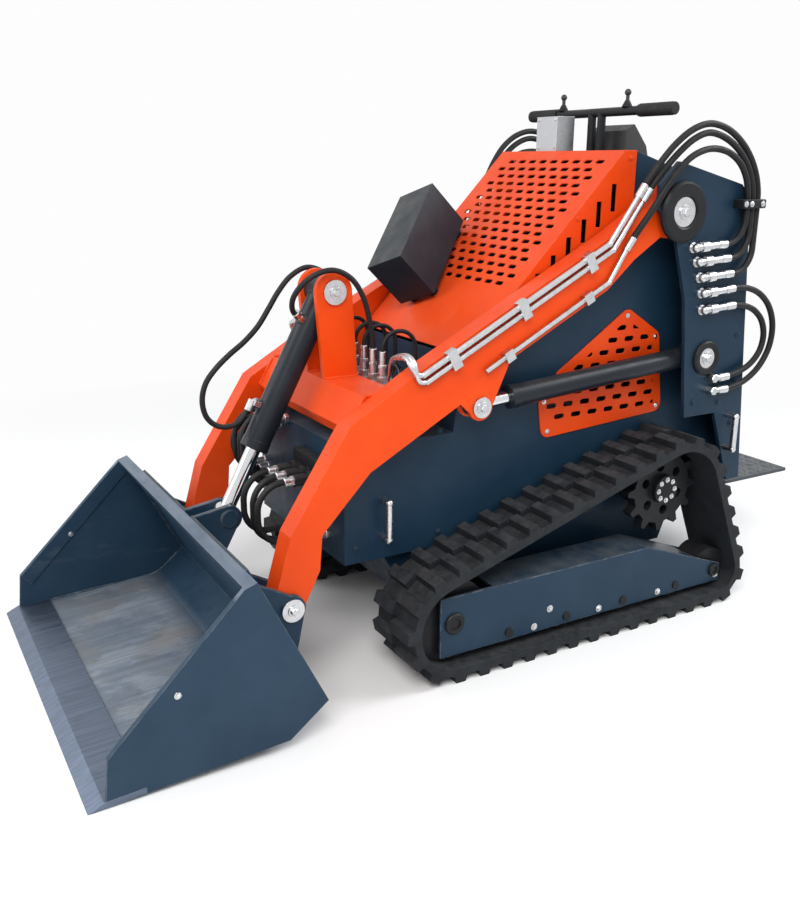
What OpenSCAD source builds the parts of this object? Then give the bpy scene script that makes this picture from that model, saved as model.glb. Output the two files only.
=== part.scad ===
// Compact tracked skid steer loader: stand-on platform, radial lift arms, dirt bucket.
// +X is forward, +Y is the operator's left, Z = 0 is the ground.
// The origin is on the ground, halfway between the bucket's lip and the platform's rear edge.

/* [Tracks] */
// Width of a track
track_w = 180; // [150:1:210]
// Gap between the body and a track
track_gap = 10; // [8:1:30]
// Height of a lug
lug_h = 18; // [14:1:26]
// Length of a lug along the track
lug_l = 36; // [24:1:42]
// Lugs in each row round a track
lug_count = 38; // [30:1:40]
// Thickness of the rubber band
band_t = 22; // [16:1:24]
// Outer radius of the track round the front idler
front_r = 150; // [140:1:155]
// Front idler's axle, forward of the origin
front_x = 230; // [200:1:235]
// Outer radius of the track round the rear idler
rear_r = 100; // [90:1:110]
// Rear idler's axle, forward of the origin
idler_x = -680; // [-700:1:-660]
// Outer radius of the track round the drive sprocket
drive_r = 168; // [160:1:175]
// Drive sprocket's axle, forward of the origin
drive_x = -500; // [-520:1:-480]
// Drive sprocket's axle, above the ground
drive_z = 365; // [355:1:380]
// Teeth on the drive sprocket
tooth_count = 12; // [10:1:14]

/* [Body] */
// Half width over the side panels
body_hw = 260; // [250:1:262]
// Thickness of the body's plates
plate_t = 8; // [5:1:9]
// Underside of the body
floor_z = 290; // [285:1:300]
// Front face of the body
nose_x = 450; // [430:1:460]
// Top of the front deck
deck_z = 590; // [560:1:592]
// Foot of the hood's slope, forward of the origin
hood_foot_x = 112; // [90:1:130]
// Foot of the hood's slope, above the ground
hood_foot_z = 786; // [760:1:800]
// Top edge of the hood's slope, forward of the origin
hood_top_x = -365; // [-380:1:-350]
// Top of the hood
hood_top_z = 1275; // [1260:1:1290]
// Rear edge of the hood
hood_rear_x = -405; // [-420:1:-395]
// Thickness of the hood's sheet
hood_t = 4; // [3:1:5]
// How far the hood's sides stand out from the body
hood_proud = 7; // [5:1:9]

/* [Lift arms] */
// Arm pivot, forward of the origin
pivot_x = -493; // [-500:1:-485]
// Arm pivot, above the ground
pivot_z = 1122; // [1115:1:1130]
// Gap between the body and an arm
arm_gap = 16; // [15:1:18]
// Width of an arm
arm_w = 60; // [56:1:62]
// Radius of the arm's boss round the pivot
arm_boss_r = 70; // [60:1:75]
// Radius of the pivot pin
pivot_pin_r = 25; // [20:1:30]
// Bucket pin, forward of the origin
bucket_pin_x = 632; // [628:1:640]
// Bucket pin, above the ground
bucket_pin_z = 255; // [250:1:260]
// Radius of the bucket pin
bucket_pin_r = 16; // [12:1:18]
// Radius of the arm's tip round the bucket pin
arm_tip_r = 42; // [36:1:44]
// Tilt cylinder's pin on the ears, forward of the origin
ear_x = 368; // [360:1:375]
// Tilt cylinder's pin on the ears, above the ground
ear_z = 932; // [920:1:940]
// Radius of the ears' round tops
ear_r = 50; // [44:1:54]
// Radius of the tilt cylinder's pins
tilt_pin_r = 17; // [14:1:20]

/* [Cylinders] */
// Lift cylinder's base pin, forward of the origin
lift_base_x = -631; // [-640:1:-620]
// Lift cylinder's base pin, above the ground
lift_base_z = 725; // [715:1:735]
// Lift cylinder's rod pin, forward of the origin
lift_rod_x = 110; // [105:1:115]
// Lift cylinder's rod pin, above the ground
lift_rod_z = 668; // [660:1:672]
// Outer radius of the lift barrel
lift_barrel_r = 29; // [26:1:30]
// Radius of the lift rod
lift_pole_r = 17; // [14:1:18]
// Length of lift rod between the barrel and the rod's pin at rest
lift_show = 103; // [80:1:140]
// Radius of the lift cylinder's pins
lift_pin_r = 16; // [12:1:18]
// Outer radius of the tilt barrel
tilt_barrel_r = 35; // [30:1:36]
// Radius of the tilt rod
tilt_pole_r = 19; // [16:1:21]
// Length of tilt rod between the barrel and the rod's pin at rest
tilt_show = 185; // [150:1:220]
// Tilt cylinder's rod pin on the hitch, forward of the origin
hitch_x = 662; // [655:1:670]
// Tilt cylinder's rod pin on the hitch, above the ground
hitch_z = 380; // [374:1:386]

/* [Bucket] */
// Half width of the bucket
bucket_hw = 510; // [480:1:540]
// Thickness of the bucket's plates
bucket_t = 8; // [6:1:10]
// Thickness of the cutting edge
edge_t = 14; // [12:1:18]
// Length of the cutting edge, front to back
edge_l = 120; // [90:1:140]

/* [Platform] */
// Rear edge of the platform, forward of the origin
platform_rear_x = -1150; // [-1200:1:-1100]
// Half width of the platform
platform_hw = 270; // [240:1:300]
// Thickness of the platform's plate
platform_t = 10; // [8:1:14]

/* [Hidden] */
$fn = 48;

orange = "#f05a1e";
dark = "#2f3a45";
black = "#1b1c1e";
steel = "#b9bcc0";

// Radial clearance of a pin in its bore
pin_gap = 0.1;
// Clearance of what runs beside another piece
run_gap = 0.3;
arm_in = body_hw + arm_gap;
arm_out = arm_in + arm_w;
arm_mid = arm_in + arm_w / 2;
track_in = body_hw + track_gap;
track_out = track_in + track_w;
hood_hw = body_hw + hood_proud;
panel_in = body_hw - plate_t;

// The body's outline behind the hood, from its top edge down the rear
rear_line = [[-709, 1186], [-745, 1150], [-827, floor_z]];

// Helpers

// Extrudes a drawing of X and Z between two values of Y
module slab(y0, y1) {
    translate([0, y1, 0]) rotate([90, 0, 0]) linear_extrude(height = y1 - y0) children();
}

// Puts what is drawn for the left side on the side that is asked for
module on_side(side) {
    if (side > 0) children();
    else mirror([0, 1, 0]) children();
}

// A cylinder along Y between two values of Y
module pin(x, z, r, y0, y1) {
    translate([x, y1, z]) rotate([90, 0, 0]) cylinder(r = r, h = y1 - y0);
}

// A straight round bar between two points
module bar(a, b, r) {
    d = b - a;
    translate(a) rotate([0, acos(d[2] / norm(d)), atan2(d[1], d[0])]) cylinder(r = r, h = norm(d));
}

// A round bar bent at each point of a path
module bent_bar(path, r) {
    for (i = [0 : len(path) - 2]) bar(path[i], path[i + 1], r);
    for (i = [1 : len(path) - 2]) translate(path[i]) sphere(r = r + 1);
}

function unit(v) = v / norm(v);
function left_normal(a, b) = let (d = unit(b - a)) [-d[1], d[0]];
function mitre(a, b, c, t) = let (m = left_normal(a, b), n = left_normal(b, c)) b + (m + n) * t / (1 + m * n);
// An open line moved to its left by t
function shifted(line, t) = [for (i = [0 : len(line) - 1])
    i == 0 ? line[0] + left_normal(line[0], line[1]) * t
    : i == len(line) - 1 ? line[i] + left_normal(line[i - 1], line[i]) * t
    : mitre(line[i - 1], line[i], line[i + 1], t)];
function backwards(line) = [for (i = [len(line) - 1 : -1 : 0]) line[i]];
// A bent sheet: the line, with its thickness t to its left
function sheet(line, t) = concat(line, backwards(shifted(line, t)));
// A closed counterclockwise outline moved inwards by t
function inset(ring, t) = let (n = len(ring)) [for (i = [0 : n - 1])
    mitre(ring[(i + n - 1) % n], ring[i], ring[(i + 1) % n], t)];

// A closed counterclockwise outline with its corners rounded
function rounded(ring, r, steps = 5) = let (n = len(ring)) [for (i = [0 : n - 1])
    let (a = ring[(i + n - 1) % n], b = ring[i], c = ring[(i + 1) % n], o = mitre(a, b, c, r),
        from = o - left_normal(a, b) * r, turn = asin(left_normal(a, b) * unit(c - b)))
    for (k = [0 : steps]) let (t = turn * k / steps, v = from - o)
        o + [v[0] * cos(t) - v[1] * sin(t), v[0] * sin(t) + v[1] * cos(t)]];

// Tracks

// Rear idler, front idler and sprocket: centre and radius of the band's outer face
track_wheels = [[idler_x, rear_r, rear_r - lug_h], [front_x, front_r, front_r - lug_h],
    [drive_x, drive_z, drive_r - lug_h]];
function centre(i) = [track_wheels[i][0], track_wheels[i][1]];
function radius(i) = track_wheels[i][2];
function gap_between(i) = centre((i + 1) % 3) - centre(i);
// Direction of the straight run after wheel i
headings = [for (i = [0 : 2]) let (d = gap_between(i))
    atan2(d[1], d[0]) + asin((radius(i) - radius((i + 1) % 3)) / norm(d))];
sweeps = [for (i = [0 : 2]) (headings[i] - headings[(i + 2) % 3] + 720) % 360];
runs = [for (i = [0 : 2]) sqrt(pow(norm(gap_between(i)), 2) - pow(radius(i) - radius((i + 1) % 3), 2))];
// Lengths of arc, run, arc, run, arc, run round the band
stretches = [for (i = [0 : 2]) each [radius(i) * sweeps[i] * PI / 180, runs[i]]];
function total(list, n) = n == 0 ? 0 : list[n - 1] + total(list, n - 1);
loop_l = total(stretches, 6);
function polar(r, a) = [r * cos(a), r * sin(a)];
function seek(s, k) = (k < 5 && s > stretches[k]) ? seek(s - stretches[k], k + 1) : [k, s];
// Point at distance s round the band, out by off from its outer face
function loop_point(s, off) =
    let (found = seek(s, 0), i = floor(found[0] / 2), along = found[1], r = radius(i))
    found[0] % 2 == 0
    ? centre(i) + polar(r + off, headings[(i + 2) % 3] - 90 + along / r * 180 / PI)
    : centre(i) + polar(r + off, headings[i] - 90) + polar(along, headings[i]);
lug_pitch = loop_l / lug_count;
lug_lean = 5;
function lug_row(phase) = [for (i = [0 : lug_count - 1]) let (s = (i + phase) * lug_pitch)
    each [loop_point(s, 0), loop_point(s + lug_lean, lug_h), loop_point(s + lug_l - lug_lean, lug_h),
        loop_point(s + lug_l, 0)]];
arc_steps = 10;
band_inside = [for (i = [0 : 2]) for (j = [0 : arc_steps])
    centre(i) + polar((radius(i) - band_t) / cos(sweeps[i] / arc_steps / 2),
        headings[(i + 2) % 3] - 90 + sweeps[i] * j / arc_steps)];

module track_row(phase, y0, y1) {
    row = lug_row(phase);
    slab(y0, y1) difference() {
        polygon(row);
        polygon(band_inside);
    }
}

module track(side) {
    color(black) on_side(side) {
        track_row(0.05, track_in, track_in + track_w / 2);
        track_row(0.5, track_in + track_w / 2, track_out);
    }
}

// Track frames, rollers and drive

frame_in = track_in + 30;
frame_out = track_out - 30;
frame_t = 8;
frame_top = 222;
frame_bottom = 62;
frame_front = front_x + 40;
frame_peak = -413;
frame_rear = idler_x - 25;
frame_rear_top = 115;
bore_front_r = 18;
roller_r = 42;
roller_axle_r = 12;
roller_xs = [-530, -330, -130, 60];
roller_z = lug_h + band_t + roller_r + run_gap;
// The ends of the top plate stay clear of the idlers
cap_front = front_x - front_r + 30;
cap_rear = idler_x + rear_r - 30;
function frame_slope_z(x) = frame_top
    + (frame_peak - x) * (frame_rear_top - frame_top) / (frame_peak - frame_rear);
cross_tube_xs = [20, -420];
cross_tube_z = 170;
cross_tube_r = 38;
belly_hw = body_hw - 30;
belly_z = 140;

module frame_bores() {
    for (x = roller_xs) translate([x, roller_z]) circle(r = roller_axle_r + pin_gap);
    translate([front_x, front_r]) circle(r = bore_front_r + pin_gap);
    translate([idler_x, rear_r]) circle(r = roller_axle_r + pin_gap);
}

module frame_outline() {
    difference() {
        polygon([[frame_front, frame_bottom], [frame_front, frame_top], [frame_peak, frame_top],
            [frame_rear, frame_rear_top], [frame_rear, frame_bottom]]);
        frame_bores();
    }
}

module track_frame(side) {
    color(dark) on_side(side) {
        slab(frame_in, frame_in + frame_t) frame_outline();
        slab(frame_out - frame_t, frame_out) frame_outline();
        slab(frame_in + frame_t, frame_out - frame_t) polygon(sheet([[cap_front, frame_top],
            [frame_peak, frame_top], [cap_rear, frame_slope_z(cap_rear)]], frame_t));
    }
}

module roller(x, z, r, axle_r) {
    pin(x, z, r, frame_in + 20, frame_out - 20);
    pin(x, z, axle_r, frame_in, frame_out + 4);
}

module rollers(side) {
    color(black) on_side(side) {
        for (x = roller_xs) roller(x, roller_z, roller_r, roller_axle_r);
        roller(front_x, front_r, front_r - lug_h - band_t - run_gap, bore_front_r);
        roller(idler_x, rear_r, rear_r - lug_h - band_t - run_gap, roller_axle_r);
    }
}

motor_r = 70;
sprocket_in = track_in + 65;
sprocket_t = 30;
tooth_tip_r = drive_r - lug_h - band_t - 2;
tooth_root_r = tooth_tip_r - 24;

module drive_motors() {
    color(black) for (side = [-1, 1]) on_side(side) pin(drive_x, drive_z, motor_r, body_hw, sprocket_in);
}

module sprocket(side) {
    color(black) on_side(side) {
        slab(sprocket_in, sprocket_in + sprocket_t) translate([drive_x, drive_z]) difference() {
            union() {
                circle(r = tooth_root_r);
                for (i = [0 : tooth_count - 1]) rotate(i * 360 / tooth_count)
                    polygon([[tooth_root_r - 8, -16], [tooth_tip_r, -7], [tooth_tip_r, 7],
                        [tooth_root_r - 8, 16]]);
            }
            for (i = [0 : 5]) rotate(i * 60 + 20) translate([66, 0]) circle(r = 14);
        }
        pin(drive_x, drive_z, 42, sprocket_in + sprocket_t, sprocket_in + sprocket_t + 18);
    }
}

// Body

// Hinge of the platform: knuckles of the floor plate between those of the platform
hinge_x = rear_line[2][0] - 26;
knuckle_r = 14;
hinge_z = floor_z + plate_t / 2;
hinge_pin_r = 8;
hinge_gap = 4;
platform_knuckle_hw = 30;
platform_knuckles = [-200, 0, 200];
body_knuckles = [-100, 100];
body_knuckle_hw = 68;

module floor_plate() {
    color(dark) {
        translate([rear_line[2][0], -panel_in, floor_z])
            cube([nose_x - rear_line[2][0], 2 * panel_in, plate_t]);
        difference() {
            for (y = body_knuckles) {
                pin(hinge_x, hinge_z, knuckle_r, y - body_knuckle_hw, y + body_knuckle_hw);
                translate([hinge_x, y - body_knuckle_hw, floor_z])
                    cube([rear_line[2][0] - hinge_x, 2 * body_knuckle_hw, plate_t]);
            }
            pin(hinge_x, hinge_z, hinge_pin_r + pin_gap, -platform_hw, platform_hw);
        }
    }
}

module belly_frame() {
    color(dark) {
        slab(-belly_hw, belly_hw) polygon([[-640, belly_z], [250, belly_z], [330, floor_z], [-700, floor_z]]);
        for (side = [-1, 1], x = cross_tube_xs) on_side(side)
            pin(x, cross_tube_z, cross_tube_r, belly_hw, frame_in);
    }
}

hood_foot = [hood_foot_x, hood_foot_z];
hood_top = [hood_top_x, hood_top_z];
hood_rear = [hood_rear_x, hood_top_z];
fire_x = 140;
// Lower rear corner of the hood's sides
hood_seam = [hood_rear_x, 1105];

module front_panel() {
    color(dark) slab(-panel_in, panel_in) polygon(sheet([[nose_x, floor_z + plate_t], [nose_x, deck_z],
        [fire_x, deck_z], [hood_foot_x, hood_foot_z - 10]], plate_t));
}

grille_ring = [[-571, 563], [-140, 535], [-124, 640], [-187, 714], [-418, 867], [-540, 790]];
grille_t = 4;
grille_lap = 16;
grille_corner_r = 26;

module side_panel(side) {
    color(dark) on_side(side) slab(panel_in, body_hw) difference() {
        polygon([[nose_x, floor_z], [nose_x, deck_z], [fire_x, deck_z], [hood_foot_x, hood_foot_z - 10],
            hood_seam, hood_rear, rear_line[0], rear_line[1], rear_line[2]]);
        polygon(inset(grille_ring, grille_lap));
    }
}

// Rounded slots in a grid, turned on every second row
module slots(columns, rows, pitch_x, pitch_y, slot_l, slot_w) {
    for (j = [0 : rows - 1], i = [0 : columns - 1])
        translate([(i + (j % 2) / 2) * pitch_x, j * pitch_y]) {
            square([slot_l - slot_w, slot_w], center = true);
            for (e = [-1, 1]) translate([e * (slot_l - slot_w) / 2, 0]) circle(d = slot_w, $fn = 24);
        }
}

module side_grille(side) {
    color(orange) on_side(side) slab(body_hw, body_hw + grille_t) difference() {
        polygon(rounded(grille_ring, grille_corner_r));
        intersection() {
            polygon(inset(grille_ring, 26));
            translate([-545, 590]) slots(9, 9, 58, 32, 34, 14);
        }
    }
}

// Inner corner where the console's cover meets the rear panel
rear_corner = mitre(rear_line[0], rear_line[1], rear_line[2], plate_t);
function rear_x(z) = rear_line[2][0]
    + (rear_line[1][0] - rear_line[2][0]) * (z - floor_z) / (rear_line[1][1] - floor_z);
console_slope = atan2(hood_rear[1] - rear_line[0][1], hood_rear[0] - rear_line[0][0]);
rear_slope = atan2(rear_line[1][0] - rear_line[2][0], rear_line[1][1] - rear_line[2][1]);

module rear_panel() {
    foot = [rear_x(floor_z + plate_t), floor_z + plate_t];
    color(dark) slab(-panel_in, panel_in)
        polygon([rear_line[1], foot, foot + [plate_t / cos(rear_slope), 0], rear_corner]);
}

module console_cover() {
    color(dark) slab(-panel_in, panel_in) polygon([hood_rear, rear_line[0], rear_line[1], rear_corner,
        mitre(hood_rear, rear_line[0], rear_line[1], plate_t), hood_rear - [0, plate_t / cos(console_slope)]]);
}

hood_slope = atan2(hood_top_z - hood_foot_z, hood_foot_x - hood_top_x);
hood_slope_l = norm(hood_top - hood_foot);

hood_vent_pitch = 48;
hood_vent_rise = 28;
hood_vent_top = 40;

module hood_cover() {
    color(orange) difference() {
        slab(-hood_hw + hood_t, hood_hw - hood_t) polygon(sheet([hood_foot, hood_top, hood_rear], hood_t));
        translate([hood_foot_x, 0, hood_foot_z]) rotate([0, hood_slope, 0])
            translate([0, 0, -3 * hood_t]) linear_extrude(height = 6 * hood_t)
            translate([hood_vent_top - hood_slope_l, -hood_vent_pitch * 4.25]) rotate(90)
            translate([0, -15 * hood_vent_rise]) slots(9, 16, hood_vent_pitch, hood_vent_rise, 32, 13);
    }
}

function hood_line(x) = hood_foot_z + (hood_foot_x - x) * tan(hood_slope);
vent_w = 17;
vent_pitch = 47;
vent_count = 8;
vent_rear_x = hood_top_x + 29;
vent_rear_h = 69;
vent_front_h = 34;

module hood_side(side) {
    color(orange) on_side(side) slab(hood_hw - hood_t, hood_hw) difference() {
        polygon([hood_foot, hood_top, hood_rear, hood_seam, hood_foot - [0, 10]]);
        for (i = [0 : vent_count - 1]) let (x = vent_rear_x + i * vent_pitch, f = i / (vent_count - 1),
            h = vent_rear_h + (vent_front_h - vent_rear_h) * f)
            translate([x - vent_w / 2, hood_line(x) - 54 + 34 * f - h]) square([vent_w, h]);
    }
}

module engine_block() {
    color(steel) translate([-330, -170, floor_z + plate_t]) cube([400, 340, 440]);
}

hood_box_size = [285, 125, 150];
hood_box_turn = 27;
hood_box_foot = [-141, -20];
hood_box_foot_h = 20;
hood_box_foot_r = 14;

module hood_box() {
    color(dark) translate([hood_foot_x, 0, hood_foot_z]) rotate([0, hood_slope, 0])
        translate([hood_box_foot[0], hood_box_foot[1], 0]) rotate(hood_box_turn) {
        translate([-hood_box_size[0], -hood_box_size[1], hood_box_foot_h]) cube(hood_box_size);
        for (x = [30, hood_box_size[0] - 30], y = [26, hood_box_size[1] - 26]) translate([-x, -y, pin_gap])
            cylinder(r = hood_box_foot_r, h = hood_box_foot_h + 5);
    }
}

// Operator's controls

bar_x = -495;
bar_rise = 104;
bar_z = hood_top_z + bar_rise;
bar_r = 12;
bar_hw = 297;
bar_post_y = 20;
bar_foot_hw = 45;
bar_foot_l = 60;
bar_foot_t = 14;
function console_z(x) = hood_top_z - (hood_rear_x - x) * tan(console_slope);

module handlebar() {
    color(black) {
        pin(bar_x, bar_z, bar_r, -bar_hw, bar_hw);
        for (y = [-bar_post_y, bar_post_y]) translate([bar_x, y, console_z(bar_x) + bar_foot_t / 2])
            cylinder(r = bar_r, h = bar_z - console_z(bar_x) - bar_foot_t / 2);
        slab(-bar_foot_hw, bar_foot_hw) polygon([for (p = [[-1, 0], [1, 0], [1, 1], [-1, 1]])
            [bar_x + p[0] * bar_foot_l / 2, console_z(bar_x + p[0] * bar_foot_l / 2) + p[1] * bar_foot_t]]);
    }
}

control_box_size = [62, 92, 94];
control_box_y = -90;

module control_box() {
    front = hood_rear_x + 16;
    rear = front - control_box_size[0];
    color(steel) slab(control_box_y - control_box_size[1] / 2, control_box_y + control_box_size[1] / 2)
        translate([0, pin_gap]) polygon([[rear, console_z(rear)], [hood_rear_x, hood_top_z], [front, hood_top_z],
            [front, hood_top_z + control_box_size[2]], [rear, hood_top_z + control_box_size[2]]]);
}

pod_x = -590;
pod_l = 110;
pod_hw = 75;
pod_h = 112;

module gauge_pod() {
    front = pod_x + pod_l / 2;
    rear = pod_x - pod_l / 2;
    color(black) slab(-pod_hw, pod_hw) translate([0, pin_gap])
        polygon(rounded([[rear, console_z(rear)], [front, console_z(front)],
        [front - 6, console_z(front) + pod_h - 18], [front - 34, console_z(front) + pod_h],
        [rear + 26, console_z(rear) + pod_h - 26]], 3));
}

module levers() {
    color(black) for (y = [-150, 120]) translate([bar_x, y, bar_z + bar_r]) {
        cylinder(r = 5, h = 36);
        translate([0, 0, 36]) sphere(r = 9);
    }
}

// Towers that carry the arms

tower_gap = 8;
tower_in = arm_out + tower_gap;
tower_t = 12;
tower_out = tower_in + tower_t;
tower_ring = [[-408, 1190], [-470, 1248], [-709, 1190], [-745, 1150], [-822, 345], [-770, 345], [-690, 560],
    [-570, 560], [-546, 782], [-532, 892], [-482, 1050], [-412, 1130]];

module tower(side) {
    color(dark) on_side(side) {
        slab(tower_in, tower_out) difference() {
            polygon(tower_ring);
            translate([pivot_x, pivot_z]) circle(r = pivot_pin_r + pin_gap);
            translate([lift_base_x, lift_base_z]) circle(r = lift_pin_r + pin_gap);
        }
        slab(body_hw, tower_in)
            polygon(sheet([[-560, 1226], tower_ring[2], tower_ring[3], tower_ring[4]], plate_t));
    }
}

module pivot_pins() {
    color(steel) for (side = [-1, 1]) on_side(side) {
        pin(pivot_x, pivot_z, pivot_pin_r, body_hw, tower_out);
        pin(pivot_x, pivot_z, pivot_pin_r + 13, tower_out, tower_out + 10);
        pin(lift_base_x, lift_base_z, lift_pin_r, body_hw, tower_out);
        pin(lift_base_x, lift_base_z, lift_pin_r + 12, tower_out, tower_out + 8);
    }
}

// Hose ends on the towers: each stands off the plate and runs to the rear
fitting_rows = [[-538, 1030], [-556, 992], [-572, 950], [-584, 908], [-592, 862]];
fitting_r = 10;
fitting_l = 92;
fitting_out = 18;
fitting_rise = 6;
tie_r = 9;
tie_out = 34;
tie_h = 96;
front_tie = [344, 350];
rear_tie = [-742, 452];

module fitting(x, z) {
    y = tower_out + fitting_out;
    tip = [x - fitting_l, y, z + fitting_rise];
    pin(x, z, fitting_r, tower_out, y);
    pin(x, z, fitting_r + 4, tower_out, tower_out + 8);
    translate([x, y, z]) sphere(r = fitting_r + 2);
    bar([x, y, z], tip, fitting_r);
    bar([x, y, z] + (tip - [x, y, z]) * 0.18, [x, y, z] + (tip - [x, y, z]) * 0.45, fitting_r + 4);
}

module tie_loop(x, z, y) {
    bent_bar([[x, y, z], [x, y + tie_out, z], [x, y + tie_out, z + tie_h], [x, y, z + tie_h]], tie_r);
}

module hose_fittings() {
    color(steel) for (side = [-1, 1], f = fitting_rows) on_side(side) fitting(f[0], f[1]);
}

module tie_downs() {
    color(steel) for (side = [-1, 1]) on_side(side) {
        tie_loop(front_tie[0], front_tie[1], body_hw);
        tie_loop(rear_tie[0], rear_tie[1], tower_out);
    }
}

// Couplers for a driven attachment, on a block at the nose
coupler_ys = [70, 120, 170];
coupler_z = 500;
coupler_r = 15;
coupler_l = 62;
coupler_neck_r = 12;
coupler_block = [30, 180, 80];

module couplers() {
    color(black) {
        translate([nose_x, coupler_ys[1] - coupler_block[1] / 2, coupler_z - coupler_block[2] / 2])
            cube(coupler_block);
        for (y = coupler_ys) translate([nose_x + coupler_block[0], y, coupler_z]) rotate([0, 90, 0]) {
            cylinder(r = coupler_neck_r, h = coupler_l);
            translate([0, 0, 12]) cylinder(r = coupler_r + 3, h = 14);
            translate([0, 0, 32]) cylinder(r = coupler_r, h = coupler_l - 32);
        }
    }
}

// Lift arms

// Outline of an arm in X and Z, from the pivot forward along the top and back below
arm_ring = [[-440, 1164], [-278, 1067], [279, 778], [470, 665], [625, 425],
    [bucket_pin_x + arm_tip_r, bucket_pin_z], [bucket_pin_x - arm_tip_r, bucket_pin_z], [552, 330],
    [545, 415], [418, 548], [165, 685], [101, 740],
    [-273, 931], [-359, 1005], [-446, 1060]];
tab_t = 11;
lift_eye_r = 30;

module arm(side) {
    color(orange) on_side(side) {
        slab(arm_in, arm_out) difference() {
            union() {
                polygon(arm_ring);
                translate([pivot_x, pivot_z]) circle(r = arm_boss_r);
                polygon([[pivot_x, pivot_z + arm_boss_r], arm_ring[0], arm_ring[14],
                    [pivot_x, pivot_z - arm_boss_r]]);
                translate([bucket_pin_x, bucket_pin_z]) circle(r = arm_tip_r);
            }
            translate([pivot_x, pivot_z]) circle(r = pivot_pin_r + pin_gap);
            translate([bucket_pin_x, bucket_pin_z]) circle(r = bucket_pin_r + pin_gap);
        }
        // Tabs for the lift cylinder's rod
        for (y = [arm_in, arm_out - tab_t]) slab(y, y + tab_t) {
            polygon([[190, 700], [20, 790], [80, 660], [lift_rod_x, lift_rod_z - 34], [140, 655]]);
            translate([lift_rod_x, lift_rod_z]) circle(r = 34);
        }
    }
}

beam_ring = [[300, 612], [430, 612], [445, 640], [400, 715], [300, 715]];
ear_in = 40;
ear_t = 16;

module cross_beam() {
    color(orange) slab(-arm_in, arm_in) polygon(beam_ring);
}

module tilt_ears() {
    color(orange) for (side = [-1, 1]) on_side(side) slab(ear_in, ear_in + ear_t) {
        difference() {
            union() {
                polygon([[305, 715], [400, 715], [ear_x + ear_r, ear_z], [ear_x - ear_r, ear_z]]);
                translate([ear_x, ear_z]) circle(r = ear_r);
            }
            translate([ear_x, ear_z]) circle(r = tilt_pin_r + pin_gap);
        }
    }
}

pin_head_t = 8;

module arm_pins() {
    color(steel) {
        pin(ear_x, ear_z, tilt_pin_r, -ear_in - ear_t, ear_in + ear_t);
        for (side = [-1, 1]) on_side(side) {
            pin(ear_x, ear_z, tilt_pin_r + 14, ear_in + ear_t, ear_in + ear_t + pin_head_t);
            pin(lift_rod_x, lift_rod_z, lift_pin_r + 10, arm_out, arm_out + pin_head_t);
        }
    }
}

// Steel lines on the arms' outer faces, and the manifold behind the cross beam
line_r = 7;
line_y = arm_out + line_r + 2;
line_step = 20;
upper_line = [[285, 765], [-262, 1048], [-345, 1160]];
lower_line = [[105, 758], [-268, 952], [-318, 1030]];
clamp_t = 2 * line_r + 6;
clamp_xs = [200, 0, -200];
manifold_hw = 150;
manifold_l = 62;
manifold_low = 640;
manifold_high = 705;
port_ys = [-125, -75, -25, 25, 75, 125];
port_r = 11;
port_h = 42;

function on_line(line, x) = line[0] + (line[1] - line[0]) * (x - line[0][0]) / (line[1][0] - line[0][0]);

module steel_line(line) {
    bent_bar([for (p = line) [p[0], line_y, p[1]]], line_r);
}

module line_clamp(line, x, w) {
    slab(arm_out + pin_gap, arm_out + clamp_t) translate(on_line(line, x))
        rotate(atan2(line[1][1] - line[0][1], line[1][0] - line[0][0])) square([26, w], center = true);
}

module arm_lines() {
    color(steel) {
        for (side = [-1, 1]) on_side(side) {
            steel_line(upper_line);
            steel_line(shifted(upper_line, line_step));
            steel_line(lower_line);
            for (x = clamp_xs) line_clamp(shifted(upper_line, line_step / 2), x, 2 * line_step + 8);
            for (x = [40, -200]) line_clamp(lower_line, x, line_step + 8);
        }
    }
}

module manifold() {
    rear = beam_ring[0][0] - manifold_l;
    color(steel) {
        translate([rear, -manifold_hw, manifold_low])
            cube([manifold_l, 2 * manifold_hw, manifold_high - manifold_low]);
        for (y = port_ys) translate([rear + manifold_l / 2, y, manifold_high]) {
            cylinder(r = port_r, h = port_h);
            cylinder(r = port_r + 5, h = port_h * 0.4, $fn = 6);
        }
    }
}

// Bucket and hitch

bucket_lip = [1150, 0];
bucket_heel = [712, 28];
bucket_bend = [618, 100];
bucket_top = [774, 418];
floor_dir = unit(bucket_lip - bucket_heel);
floor_up = [-floor_dir[1], floor_dir[0]];
edge_rear = bucket_lip - edge_l * floor_dir;
// Foot of the side plates on the cutting edge
side_foot = bucket_lip - 38 * floor_dir + edge_t * floor_up;

rail_w = 28;
rail_h = 30;
strip_w = 40;
strip_t = 6;
side_nose = [1103, 109];
side_crest = bucket_top + [rail_w, -rail_w / 3];
side_in = left_normal(side_nose, side_crest) * -1;

module bucket_shell() {
    color(dark) {
        slab(-bucket_hw + bucket_t, bucket_hw - bucket_t)
            polygon(sheet([bucket_top, bucket_bend, bucket_heel, edge_rear], bucket_t));
        for (side = [-1, 1]) on_side(side) slab(bucket_hw - bucket_t, bucket_hw)
            polygon([edge_rear, edge_rear + edge_t * floor_up, side_foot, side_nose,
                side_crest, bucket_top, bucket_bend, bucket_heel]);
        slab(-bucket_hw + bucket_t, bucket_hw - bucket_t)
            polygon([bucket_top, bucket_top - rail_h * back_dir, bucket_top + [rail_w - 10, -rail_h],
                bucket_top + [rail_w, -rail_w / 3]]);
        // Stiffening strips inside the side plates, along their sloping edges
        for (side = [-1, 1]) on_side(side) slab(bucket_hw - bucket_t - strip_t, bucket_hw - bucket_t)
            polygon([side_nose, side_crest, side_crest - strip_w * side_in, side_nose - strip_w * side_in]);
    }
}

module cutting_edge() {
    color(steel) slab(-bucket_hw, bucket_hw)
        polygon([bucket_lip, bucket_lip - 34 * floor_dir + edge_t * floor_up,
        edge_rear + edge_t * floor_up, edge_rear]);
}

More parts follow.
